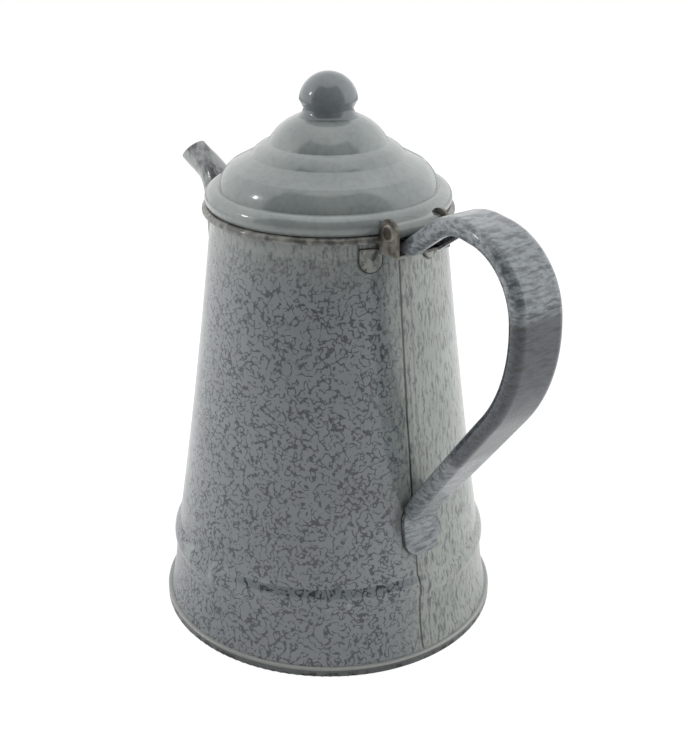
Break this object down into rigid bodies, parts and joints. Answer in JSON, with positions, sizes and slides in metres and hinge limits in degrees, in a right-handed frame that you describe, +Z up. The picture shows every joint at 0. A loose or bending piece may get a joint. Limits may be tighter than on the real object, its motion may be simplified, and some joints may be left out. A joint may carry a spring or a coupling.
{
  "type": "coffee pot",
  "caption": "Tall tapered enamelled steel coffee pot with a gooseneck spout, a strap handle and a stepped hinged lid.",
  "frame": {"origin": "centre of the foot ring, on the surface that the pot stands on", "axes": "+Z up the pot's axis, +X towards the handle, -X towards the spout, Y along the hinge pin"},
  "size_m": [0.2455, 0.1526, 0.2425],
  "materials": {
    "body_shell": "glossy mottled grey vitreous enamel",
    "bottom_pan": "glossy mottled grey vitreous enamel",
    "rim_wire": "worn bare steel",
    "spout": "glossy mottled grey vitreous enamel",
    "handle": "glossy mottled grey vitreous enamel",
    "hinge_bracket": "worn bare steel",
    "hinge_pin": "worn bare steel",
    "lid_shell": "glossy mottled grey vitreous enamel",
    "lid_collar": "glossy mottled grey vitreous enamel",
    "lid_hinge_leaf": "glossy mottled grey vitreous enamel",
    "knob": "glossy mottled grey vitreous enamel",
    "knob_rivet": "worn bare steel"
  },
  "bodies": {
    "pot": {"body_shell": "body_shell", "bottom_pan": "bottom_pan", "rim_wire": "rim_wire", "spout": "spout", "handle": "handle", "hinge_bracket": "hinge_bracket", "hinge_pin": "hinge_pin"},
    "lid": {"lid_shell": "lid_shell", "lid_collar": "lid_collar", "lid_hinge_leaf": "lid_hinge_leaf", "knob": "knob", "knob_rivet": "knob_rivet"}
  },
  "joints": [
    {"name": "lid_hinge", "type": "hinge", "parent": "pot", "child": "lid", "pos_m": [0.0568, 0, 0.191], "axis": [0, 1, 0], "range_deg": [0, 110]}
  ]
}
